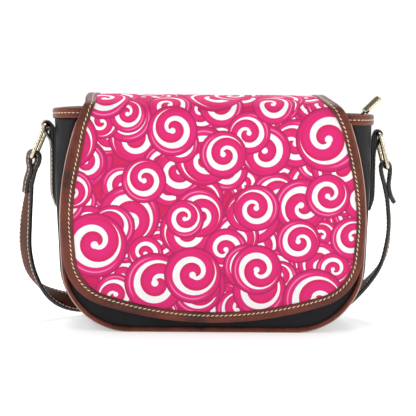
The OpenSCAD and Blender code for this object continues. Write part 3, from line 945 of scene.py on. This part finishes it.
class PURSE_OT_stage(bpy.types.Operator):
    """Floor, lights and camera"""
    bl_idname = "purse.stage"
    bl_label = "Stage"

    def execute(self, context):
        shape = bmesh.new()
        bmesh.ops.create_grid(shape, x_segments=4, y_segments=4, size=3.0)
        mesh = bpy.data.meshes.new("floor")
        shape.to_mesh(mesh)
        shape.free()
        mesh.materials.append(finish("floor_paper"))
        floor = bpy.data.objects.new("floor", mesh)
        context.scene.collection.objects.link(floor)
        self.lights(context)
        self.world(context)
        self.camera(context)
        return {"FINISHED"}

    def lights(self, context):
        """Soft round lamps: name, place, what each looks at, its size and power"""
        for name, place, aim, size, power in (
                ("key_light", (-0.8, -1.3, 1.3), (0, 0, 0.1), 0.45, 5.5),
                ("fill_light", (1.1, -1.1, 0.8), (0, 0, 0.1), 0.45, 3.5),
                ("top_light", (0.0, 0.7, 1.6), (0, 0, 0.05), 1.3, 13),
                ("left_strip", (-1.1, -0.45, 0.45), (0, 0, 0.12), 0.22, 2.6),
                ("right_strip", (1.1, -0.45, 0.45), (0, 0, 0.12), 0.22, 2.6)):
            light = bpy.data.lights.new(name, "AREA")
            light.shape, light.size, light.energy = "DISK", size, power
            lamp = bpy.data.objects.new(name, light)
            lamp.location = place
            lamp.rotation_euler = (Vector(aim) - Vector(place)).to_track_quat("-Z", "Y").to_euler()
            context.scene.collection.objects.link(lamp)

    def world(self, context):
        """Pale surroundings, darker in front of the purse than behind it"""
        world = bpy.data.worlds.new("studio")
        world.use_nodes = True
        tree = world.node_tree
        place, axes = tree.nodes.new("ShaderNodeTexCoord"), tree.nodes.new("ShaderNodeSeparateXYZ")
        level = tree.nodes.new("ShaderNodeMapRange")
        for socket, value in (("From Min", -0.3), ("From Max", 0.2), ("To Min", 0.30), ("To Max", 1.02)):
            level.inputs[socket].default_value = value
        tree.links.new(place.outputs["Generated"], axes.inputs[0])
        tree.links.new(axes.outputs["Y"], level.inputs["Value"])
        tree.links.new(level.outputs["Result"], tree.nodes["Background"].inputs["Strength"])
        tree.nodes["Background"].inputs["Color"].default_value = (1, 1, 1, 1)
        context.scene.world = world
        context.scene.view_settings.view_transform = "Standard"

    def camera(self, context):
        lens = bpy.data.cameras.new("camera")
        lens.lens, lens.sensor_width = 95.7, 36.0
        camera = bpy.data.objects.new("camera", lens)
        aim = Vector((-0.0045, -0.038, 0.1138))
        camera.location = (-0.008, -1.03, 0.222)
        turn = (aim - camera.location).to_track_quat("-Z", "Y").to_matrix().to_4x4()
        turn = turn @ Matrix.Rotation(math.radians(0.4), 4, "Z")
        camera.rotation_euler = turn.to_euler()
        context.scene.collection.objects.link(camera)
        context.scene.camera = camera


class PURSE_OT_body(bpy.types.Operator):
    """Panels, gusset and base board"""
    bl_idname = "purse.body"
    bl_label = "Body"

    def execute(self, context):
        panel_piece("front_panel_leather", "front_panel", -1)
        panel_piece("back_panel_leather", "back_panel", 1)
        gusset_piece()
        rounded_piece("base_board", "_fibre", 0.0008, "bag", "fibre_board")
        return {"FINISHED"}


class PURSE_OT_piping(bpy.types.Operator):
    """Piping around both panels"""
    bl_idname = "purse.piping"
    bl_label = "Piping"

    def execute(self, context):
        piping_piece("front_piping_cord", "front_piping", -1)
        piping_piece("back_piping_cord", "back_piping", 1)
        return {"FINISHED"}


class PURSE_OT_mouth(bpy.types.Operator):
    """Binding around the mouth and the two panels beside the zip"""
    bl_idname = "purse.mouth"
    bl_label = "Mouth"

    def execute(self, context):
        profile = [(0.0001, 0.0), (0.0006, -0.0001), (0.0010, 0.0005), (0.0013, 0.0028), (0.0009, 0.0047),
                   (0.0013, 0.0062), (0.0012, 0.0078), (0.0006, 0.0089), (-0.0002, 0.0094), (-0.0014, 0.0092),
                   (-0.0026, 0.0084), (-0.0031, 0.0070), (-0.0031, 0.0035), (-0.0022, 0.003),
                   (-0.0008, 0.003)]
        shape = sweep(mouth_stations(0.0, MOUTH_Z), profile, closed=True)
        binding = finished("mouth_binding", shape, "bag", ["brown_leather"], sharp=70)
        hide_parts("top_binding")
        row = mouth_stations(0.0009, MOUTH_Z + 0.0047)
        row.append(row[0])
        sew("mouth_stitches", [([s[0] for s in row], [s[1] for s in row])], "bag")
        for side, node in ((-1, "top_panel_front"), (1, "top_panel_back")):
            self.mouth_panel(side, node)
        return {"FINISHED"}

    def mouth_panel(self, side, node):
        half, inner = 0.1430, 0.0082

        def place(a, b):
            x = mix(-half, half, a)
            bend = max(0.0, abs(x) - MOUTH_FLAT) / (MOUTH_BULGE - 0.003)
            outer = max(inner, 0.0349 * math.sqrt(max(0.0, 1 - bend * bend)))
            sag = 0.0009 * math.sin(math.pi * b) * (1 + noise.noise(Vector((x * 30, b * 2, side * 7.0))))
            z = mix(MOUTH_Z + 0.0062 + mouth_rise(x), 0.1898, b) - sag
            return Vector((x, side * mix(outer, inner, b), z)), (a, b)
        shape = face_towards(sheet_shape(90, 8, place), lambda c: Vector((0, 0, 1)))
        panel = finished(node + "_leather", shape, "bag", ["black_leather"], outwards=False)
        thicken(panel, 0.0012)
        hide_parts(node)
        row = [Vector((mix(-0.132, 0.132, k / 60), side * 0.0105, 0.1904)) for k in range(61)]
        sew(node + "_stitches", [(row, [Vector((0, 0, 1))] * 61)], "bag")


class PURSE_OT_lining(bpy.types.Operator):
    """Lining bag and its slip pocket"""
    bl_idname = "purse.lining"
    bl_label = "Lining"

    def execute(self, context):
        count, levels = 60, 26
        shape = bmesh.new()

        def ring_at(z):
            points = []
            for k in range(count):
                a = 2 * math.pi * k / count
                share = abs(math.cos(a)) ** 0.6
                y = 0.0345 * math.copysign(abs(math.sin(a)) ** 0.45, math.sin(a))
                outline = half_outline(mixed_circles(math.sqrt(max(0.0, 1 - (y / HALF_DEPTH) ** 2))), -0.0042,
                                       0.195)
                wide = next((p.lerp(q, (z - p.y) / (q.y - p.y)).x for p, q in zip(outline, outline[1:])
                             if p.y <= z < q.y), 0.07)
                x = math.copysign(wide * min(1.0, share * 1.02), math.cos(a))
                pull = 0.0008 * noise.noise(Vector((x * 40, y * 40, z * 40)))
                points.append(Vector((x * (1 - pull * 5), y * (1 - pull * 8), z)))
            return points
        heights = [0.0052 + 0.1815 * (k / levels) ** 1.25 for k in range(levels + 1)]
        ring = [shape.verts.new(p) for p in ring_at(heights[0])]
        edges = loop_edges(ring, shape.edges.new)
        bmesh.ops.contextual_create(shape, geom=ring)
        for z in heights[1:]:
            ring, edges = next_ring(shape, ring, edges, ring_at(z))
        face_towards(shape, lambda c: Vector((c.x, c.y, c.z - 0.1)))
        lining = finished("lining_bag", shape, "bag", ["lining_cloth"], outwards=False)
        thicken(lining, 0.0007)
        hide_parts("lining")
        rounded_piece("slip_pocket", "_cloth", 0.0005, "bag", "lining_cloth")
        rounded_piece("pocket_trim", "_leather", 0.0003, "bag", "brown_leather")
        sew_straight("pocket_stitches", "pocket_trim", -1, 0.002, 0.0018, 0.0018, 40)
        return {"FINISHED"}


class PURSE_OT_zip(bpy.types.Operator):
    """Zip: woven tapes, teeth, stops, slider and leather ends"""
    bl_idname = "purse.zip"
    bl_label = "Zip"

    def execute(self, context):
        for side, end in ((-1, "front"), (1, "back")):
            self.tape(side, "zip_tape_" + end)
            self.teeth(side, "zip_teeth_" + end)
        for node in ("zip_end_left", "zip_end_right"):
            rounded_piece(node, "_leather", 0.0004, "bag", "brown_leather")
        for node in ("zip_stop_left", "zip_stop_right"):
            rounded_piece(node, "_metal", 0.0003, "bag", "bright_brass")
        for node in ("zip_slider", "zip_bail"):
            rounded_piece(node, "_metal", 0.0003, "slider", "bright_brass")
        return {"FINISHED"}

    def tape(self, side, node):
        low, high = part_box(node)
        near, far = 0.0033, 0.0102

        def place(a, b):
            x = mix(low.x, high.x, a)
            ripple = 0.00012 * math.sin(x * 900) * b
            return Vector((x, side * mix(near, far, b), high.z - 0.00015 + ripple)), (a, b)
        shape = face_towards(sheet_shape(160, 4, place), lambda c: Vector((0, 0, 1)))
        piece = finished(node + "_cloth", shape, "bag", ["zip_tape"], outwards=False)
        thicken(piece, 0.0007)
        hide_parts(node)

    def teeth(self, side, node):
        pitch = sizes().tooth_pitch / 2
        low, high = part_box(node)
        shape = bmesh.new()
        count = int((high.x - low.x - 0.001) / pitch)
        for k in range(count):
            if (k % 2 == 0) != (side < 0):
                continue
            x = low.x + 0.001 + pitch * k
            for y, block, rounded in ((0.0013, (0.0016, 0.0026, 0.0026, 1), True),
                                      (0.0028, (0.0010, 0.0022, 0.0022, 1), False)):
                matrix = Matrix.Translation((x, side * y, TOOTH_Z)) @ Matrix.Diagonal(block)
                made = bmesh.ops.create_cube(shape, size=1.0, matrix=matrix)["verts"]
                edges = list({e for v in made for e in v.link_edges})
                if rounded:
                    bmesh.ops.bevel(shape, geom=edges, offset=0.0004, offset_type="OFFSET", affect="EDGES",
                                    segments=1, profile=0.5, material=-1)
        piece = finished(node + "_metal", shape, "bag", ["bright_brass"], sharp=50)
        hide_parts(node)


class PURSE_OT_pull(bpy.types.Operator):
    """Zip pull: leather link and metal tag"""
    bl_idname = "purse.pull"
    bl_label = "Zip pull"

    def execute(self, context):
        lift = dict(cent=Vector((0.1336, 0, 0.194)), matrix=Matrix.Rotation(math.radians(-4.5), 3, "Y"))
        shape = rounded_copy("pull_link", 0.0003)
        bmesh.ops.rotate(shape, verts=shape.verts, **lift)
        link = finished("pull_link_leather", shape, "pull", ["brown_leather"])
        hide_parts("pull_link")
        shape = merged_copy("pull_tag")
        low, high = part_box("pull_tag")
        bmesh.ops.rotate(shape, verts=shape.verts, cent=(low + high) / 2,
                         matrix=Matrix.Rotation(math.radians(16), 3, (0.766, 0, 0.643)))
        faces = largest_faces(shape)
        inset_faces(shape, faces, 0.0011, 0.0)
        inset_faces(shape, faces, 0.0003, -0.0003)
        for face in faces:
            face.material_index = 1
        bmesh.ops.scale(shape, verts=shape.verts, vec=(1.05, 1.0, 1.05), space=Matrix.Translation(-low))
        bmesh.ops.rotate(shape, verts=shape.verts, **lift)
        round_over(shape, sharp_edges(shape, 60), 0.00045, 3)
        tag = finished("pull_tag_metal", shape, "pull", ["bright_brass", "dark_brass"])
        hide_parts("pull_tag")
        return {"FINISHED"}


class PURSE_OT_tabs(bpy.types.Operator):
    """Side tabs that hold the rings"""
    bl_idname = "purse.tabs"
    bl_label = "Side tabs"

    def execute(self, context):
        for end, side, low in (("left", -1, 0.1150), ("right", 1, 0.1130)):
            self.tab(end, side, low)
        return {"FINISHED"}

    def tab(self, end, side, low):
        """A strip up the gusset, around the ring's upper bar and back down over itself"""
        s = sizes()
        thick = s.tab_thickness
        pivot, reach = RING_PIVOTS[end], s.wire_radius + 0.0003 + thick / 2
        bar, top = abs(pivot.x), pivot.z
        path = [(SIDE_X - 0.0004, low + 0.001), (SIDE_X + thick * 0.5, low + 0.006),
                (SIDE_X + thick * 0.5, top - 0.030), (SIDE_X + thick * 0.5, top - 0.012),
                (SIDE_X + thick * 0.8, top - 0.003)]
        path += [(bar - reach * math.cos(math.radians(a)), top + reach * math.sin(math.radians(a)))
                 for a in range(40, 181, 20)]
        path += [(mix(SIDE_X + thick * 1.5, bar + reach, 0.74), top - 0.006),
                 (SIDE_X + thick * 1.66, top - 0.016), (SIDE_X + thick * 1.52, top - 0.028),
                 (SIDE_X + thick * 1.5, low + 0.014), (SIDE_X + thick * 1.2, low + 0.006),
                 (SIDE_X + thick * 0.3, low), (SIDE_X - thick * 0.4, low - 0.004)]
        core = [(SIDE_X + thick * 1.2, top - 0.022), (SIDE_X + thick * 1.2 + 0.0008, top - 0.012),
                (SIDE_X + thick + 0.0014, top - 0.005), (SIDE_X + thick + 0.0018, top - 0.0005)]
        core = evenly([Vector((side * x, 0.0, z)) for x, z in core], 12)
        path = [Vector((side * x, 0.0, z)) for x, z in path]
        path = evenly([smooth_point(path, k / 6) for k in range(6 * (len(path) - 1) + 1)], 90)
        across = Vector((-0.24, 1, 0)) if end == "left" else Vector((0.1, 1, 0))
        stations = [(p, n, u * side) for p, n, u in stations_along(path, [across] * len(path))]
        filler = sweep(stations_along(core, [across] * len(core)),
                       strap_profile(s.strap_width - 0.0008, 0.0036))
        finished("tab_%s_core" % end, filler, "bag", ["edge_paint"], sharp=60)
        shape = sweep(stations, strap_profile(s.strap_width, thick), paint=lambda k: 0 if k in (2, 8) else 1)
        piece = finished("tab_%s_leather" % end, shape, "bag",
                         ["brown_leather", "edge_paint"], sharp=60)
        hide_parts("tab_" + end)
        outer = [st for st in stations[50:] if st[0].z < top - 0.012]
        face = 1 if outer[0][2].x * side > 0 else -1
        sew("tab_%s_stitches" % end,
            [([p + n * y + u * face * thick / 2 for p, n, u in outer],
              [u * face for p, n, u in outer]) for y in (-0.0072, 0.0072)], "bag")


class PURSE_OT_rings(bpy.types.Operator):
    """Metal rings between the tabs and the strap"""
    bl_idname = "purse.rings"
    bl_label = "Rings"

    def execute(self, context):
        for end in ("left", "right"):
            self.ring(end)
        return {"FINISHED"}

    def ring(self, end):
        down = ring_down(end)
        half, bend = RING_WIDTH / 2, RING_BEND
        stations = []
        for corner, (cy, ch) in enumerate(((half - bend, bend), (half - bend, RING_LENGTH - bend),
                                           (bend - half, RING_LENGTH - bend), (bend - half, bend))):
            for k in range(7):
                a = math.radians(-90 + 90 * corner + 15 * k)
                out = Vector((0, math.cos(a), 0)) + down * math.sin(a)
                centre = RING_PIVOTS[end] + Vector((0, cy, 0)) + down * ch
                stations.append((centre + out * bend, out, down.cross(Vector((0, 1, 0)))))
        shape = sweep(stations, circle_profile(sizes().wire_radius, sizes().ring_segments), closed=True)
        piece = finished("ring_%s_metal" % end, shape, "ring_" + end, ["bright_brass"],
                         sharp=60)
        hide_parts("ring_" + end)


class PURSE_OT_strap(bpy.types.Operator):
    """Shoulder strap with painted edges, looped around both rings"""
    bl_idname = "purse.strap"
    bl_label = "Strap"

    def execute(self, context):
        steps = 6
        points = [smooth_point([p for p, _ in STRAP_ROUTE], k / steps)
                  for k in range(steps * (len(STRAP_ROUTE) - 1) + 1)]
        sides = [smooth_point([s for _, s in STRAP_ROUTE], k / steps) for k in range(len(points))]
        half = steps * 15
        self.half_strap("left", points[:half + 1], sides[:half + 1], (0.0, 0.0, 0.034), (0.0, 0.0, 0.058))
        self.half_strap("right", points[half:][::-1], sides[half:][::-1], (0.0, 0.0, 0.046),
                        (0.0, 0.0, 0.070))
        return {"FINISHED"}

    def half_strap(self, end, points, sides, start, stop):
        """From the ring down to the middle of the run on the floor"""
        s = sizes()
        out, flip = (-1, 1) if end == "left" else (1, -1)
        down = ring_down(end)
        bar = RING_PIVOTS[end] + down * RING_LENGTH
        foot = points[0]
        run = (foot - bar).normalized()
        off = Vector((out, 0, 0)) - run * run.x * out
        off.normalize()
        around = s.wire_radius + 0.0004 + s.strap_thickness / 2
        layer = s.strap_thickness / 2 + 0.0001
        closed, past, splay = (0.0125, 0.0085, 2.0) if end == "left" else (0.0180, 0.0015, 3.2)
        join = bar + run * closed
        tail = at_length(points, lengths(points), past)
        loop = [tail + off * layer * splay, foot + off * layer * 2.0 - run * 0.003,
                join + off * layer * 1.1, bar + run * 0.0055 + off * around * 0.95]
        loop += [bar + off * around * math.cos(math.radians(t)) - run * around * math.sin(math.radians(t))
                 for t in range(0, 181, 20)]
        loop += [bar + run * 0.0055 - off * around * 0.95, join - off * layer * 0.9]
        path = evenly([smooth_point(loop + points[:1], k / 6) for k in range(6 * len(loop) + 1)], 70)[:-1]
        path += points
        widths = [sides[0]] * 70 + sides
        stations = stations_along(path, widths)
        # On the loop the strap's front face looks away from the bar, as it does all the way down.
        stations = [(p, side, up * flip) for p, side, up in stations]
        profile = strap_profile(s.strap_width, s.strap_thickness)
        shape = sweep(stations, profile, paint=lambda column: 0 if column in (2, 8) else 1)
        piece = finished("strap_%s_leather" % end, shape, None,
                         ["strap_leather", "edge_paint"], sharp=60)
        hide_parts("strap_" + end)
        if end == "left":
            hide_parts("strap_middle")
        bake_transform(piece)
        rows = []
        inset = s.strap_width / 2 - 0.0021
        for way in (-1, 1):
            for face in (-1, 1):
                rows.append(([p + side * way * inset + up * face * s.strap_thickness / 2
                              for p, side, up in stations], [up * face for p, side, up in stations]))
        stitches = sew("strap_%s_stitches" % end, rows, None)
        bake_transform(stitches)


class FlapPattern:
    """The flap's section and its flat pattern: x across and a distance s up its front and over"""

    def __init__(self):
        arch = [smooth_point(FLAP_ARCH, k / 8) for k in range(8 * (len(FLAP_ARCH) - 1) + 1)]
        self.base = FLAP_OUTLINE[0][1] - FLAP_OUTLINE[0][2]
        self.section = [Vector((FLAP_FACE_Y, self.base))] + [Vector(p[:2]) for p in arch]
        self.spans = [Vector(p[2:]) for p in arch]
        self.along = lengths(self.section)
        self.length = self.along[-1]
        crown = max(range(len(self.section)), key=lambda k: self.section[k].y)
        self.crown = self.along[crown]
        self.front_top = self.along[1]

    def point(self, x, s, out=0.0):
        """The point of the flap at x and s, raised by out"""
        p = at_length(self.section, self.along, s)
        puff = 0.0005 * noise.noise(Vector((x * 22, s * 22, 1.0)))
        puff += 0.0003 * noise.noise(Vector((x * 60, s * 60, 5.0)))
        lift = -0.0005 * x / 0.11 * min(1.0, max(0.0, (p.y - 0.15) / 0.05))
        return Vector((x, p.x, p.y + lift)) + self.up(s) * (out + puff)

    def up(self, s):
        """Direction away from the bag at s"""
        a = at_length(self.section, self.along, s - 0.002)
        b = at_length(self.section, self.along, s + 0.002)
        run = (b - a).normalized()
        return Vector((0.0, -run.y, run.x))

    def span(self, s, outline, inset=0.0):
        """The flap's left and right edges at s, inside them by inset on the arch"""
        if s <= self.front_top:
            z = self.base + s
            wide = next((mix(p.x, q.x, (z - p.y) / (q.y - p.y)) for p, q in zip(outline, outline[1:])
                         if p.y <= z <= q.y and q.y > p.y), 0.004)
            return -wide, wide
        half, shift = at_length(self.spans, self.along[1:], s)
        return shift - half + inset, shift + half - inset

    def edge(self, count):
        """Edge of the flap from its rear left over and round to its rear right: (x, s)"""
        outline = half_outline(FLAP_OUTLINE, 0.0, FLAP_FRONT_TOP, 2.0)
        right = [Vector((p.x, p.y - self.base)) for p in outline]
        left = [Vector((-p.x, p.y)) for p in right]
        for k in range(1, 41):
            s = mix(self.front_top, self.length - 0.003, k / 40)
            low, high = self.span(s, outline)
            left.append(Vector((low, s)))
            right.append(Vector((high, s)))
        return evenly(left[:0:-1] + right, count)


class PURSE_OT_flap(bpy.types.Operator):
    """Flap: printed cloth, lining, leather band, stitches and the strip that holds it"""
    bl_idname = "purse.flap"
    bl_label = "Flap"

    def execute(self, context):
        flap = FlapPattern()
        top = dict(a="bag", b="flap_top", start=(0.0, 0.0413, 0.198), end=(0.0, 0.0330, 0.2080))
        front = dict(a="flap_top", b="flap_front", start=(0.0, -0.0360, 0.2092), end=(0.0, -0.0445, 0.1975))
        for kind, out, finish_name, slot in (("print", 0.0006, "sweets_print", "printed_canvas"),
                                             ("lining", -0.0006, "lining_cloth", "lining_cloth")):
            self.cloth(flap, "flap_%s_front" % kind, out, 0.0, flap.crown, finish_name, slot, front,
                       "flap_" + kind)
            self.cloth(flap, "flap_%s_top" % kind, out, flap.crown, flap.length, finish_name, slot, top,
                       "flap_top_" + kind)
        self.band(flap, top, front)
        rounded_piece("flap_anchor", "_leather", 0.0006, "bag", "brown_leather")
        sew_straight("flap_anchor_stitches", "flap_anchor", 1, 0.003, 0.003, 0.005, 50)
        return {"FINISHED"}

    def cloth(self, flap, name, out, low, high, finish_name, slot, bend, node):
        """One leaf of the cloth from low to high along the flap, lying out from its middle face"""
        rows = 90 if low == 0.0 else 30
        outline = half_outline(FLAP_OUTLINE, -CLOTH_INSET, FLAP_FRONT_TOP, 2.0)
        levels = []
        for k in range(rows + 1):
            share = k / rows
            s = mix(low, high, share) if low else max(mix(low, high, share ** 1.5), CLOTH_INSET + 0.0004)
            levels.append((s, *flap.span(s, outline, CLOTH_INSET)))

        def place(a, b):
            s, left, right = levels[round(b * rows)]
            x = mix(left, right, a)
            return flap.point(x, s, out), (x, s)
        shape = sheet_shape(72, rows, place)
        sign = 1 if out > 0 else -1
        face_towards(shape, lambda c: Vector((0, -0.9, 0.1)) * sign if c.z < 0.19
                     else Vector((0, c.y * 0.8, c.z - 0.19)) * sign)
        piece = finished(name, shape, None, [finish_name], outwards=False)
        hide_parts(node)
        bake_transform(piece)

    def band(self, flap, top, front):
        """Leather band around the flap's edge, in three lengths"""
        s = sizes()
        w, h = s.band_width, s.band_height
        profile = [(-w, 0.0002), (-w + 0.0001, h * 0.72), (-w + 0.0007, h * 0.9), (-w * 0.78, h * 0.88),
                   (-w * 0.68, h * 0.82), (-w * 0.58, h * 0.95), (-w * 0.30, h), (-w * 0.12, h * 0.92),
                   (-0.0004, h * 0.6), (0.0, 0.0), (-0.0004, -h * 0.5), (-w * 0.12, -h * 0.72),
                   (-w * 0.5, -h * 0.75), (-w + 0.0006, -h * 0.72), (-w, -0.0004)]
        edge = flap.edge(300)
        places = [(flap.point(p.x, p.y), flap.up(p.y), p.y) for p in edge]
        stations = []
        for k, (point, up, along) in enumerate(places):
            run = (places[min(k + 1, len(places) - 1)][0] - places[max(k - 1, 0)][0]).normalized()
            wide = 1 - 0.17 * point.x / 0.137 * min(1.0, point.z / 0.06, max(0.0, (0.205 - point.z) / 0.04))
            stations.append((point, run.cross(up).normalized() * -wide, up, along))
        if stations[150][1].z > 0:
            stations = [(p, -n, u, a) for p, n, u, a in stations]
        parts = {"left": [st for st in stations[:150] if st[3] >= flap.crown - 0.0005],
                 "right": [st for st in stations[150:] if st[3] >= flap.crown - 0.0005]}
        first, last = len(parts["left"]), len(stations) - len(parts["right"])
        for name, run, bend, node in (("front", stations[first - 1:last + 1], front, "flap_trim"),
                                      ("top_left", stations[:first], top, "flap_top_trim"),
                                      ("top_right", stations[last:], top, None)):
            shape = sweep([(p, n, u) for p, n, u, _ in run], profile)
            piece = finished("flap_band_" + name, shape, None, ["brown_leather"], sharp=75)
            if node:
                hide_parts(node)
            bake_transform(piece)
            inset = w * 0.68
            row = ([p - n * inset + u * h * 0.86 for p, n, u, _ in run], [u for _, _, u, _ in run])
            under = ([p - n * inset - u * h * 0.76 for p, n, u, _ in run], [-u for _, _, u, _ in run])
            stitches = sew("flap_stitches_" + name, [row, under], None, slant=0.35)
            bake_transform(stitches)


class PURSE_OT_snap(bpy.types.Operator):
    """Magnetic snap under the flap"""
    bl_idname = "purse.snap"
    bl_label = "Snap"

    def execute(self, context):
        for node, body, centre in (("snap_socket", "bag", 0.0035), ("snap_stud", "flap_front", 0.0030),
                                   ("snap_washer", "bag", 0.0040)):
            shape = merged_copy(node)
            round_over(shape, [e for f in largest_faces(shape) for e in f.edges], 0.0004, 3)
            faces = largest_faces(shape)
            for width, depth in ((0.0012, 0.0), (0.0003, -0.0002), (centre - 0.0015, 0.0), (0.0004, 0.0002)):
                inset_faces(shape, faces, width, depth)
            piece = finished(node + "_metal", shape, body, ["bright_brass"], sharp=40)
            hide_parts(node)
        return {"FINISHED"}


class PURSE_PT_panel(bpy.types.Panel):
    """Lists the purse's pieces and sizes"""
    bl_idname = "PURSE_PT_panel"
    bl_label = "Crossbody Purse"
    bl_space_type = "VIEW_3D"
    bl_region_type = "UI"
    bl_category = "Purse"

    def draw(self, context):
        for operator in OPERATORS:
            self.layout.operator(operator.bl_idname)
        for group in (sizes(), colours()):
            for name in group.__annotations__:
                self.layout.prop(group, name)


OPERATORS = (PURSE_OT_stage, PURSE_OT_body, PURSE_OT_piping, PURSE_OT_mouth, PURSE_OT_lining, PURSE_OT_zip,
             PURSE_OT_pull, PURSE_OT_tabs, PURSE_OT_rings, PURSE_OT_strap, PURSE_OT_flap, PURSE_OT_snap)


def register():
    for group in (PurseSizes, PurseColours, *OPERATORS, PURSE_PT_panel):
        bpy.utils.register_class(group)
    bpy.types.Scene.purse_sizes = PointerProperty(type=PurseSizes)
    bpy.types.Scene.purse_colours = PointerProperty(type=PurseColours)


def unregister():
    del bpy.types.Scene.purse_colours
    del bpy.types.Scene.purse_sizes
    for group in (PURSE_PT_panel, *reversed(OPERATORS), PurseColours, PurseSizes):
        bpy.utils.unregister_class(group)


def main():
    register()
    for operator in OPERATORS:
        group, name = operator.bl_idname.split(".")
        getattr(getattr(bpy.ops, group), name)()
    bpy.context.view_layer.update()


if __name__ == "__main__":
    main()
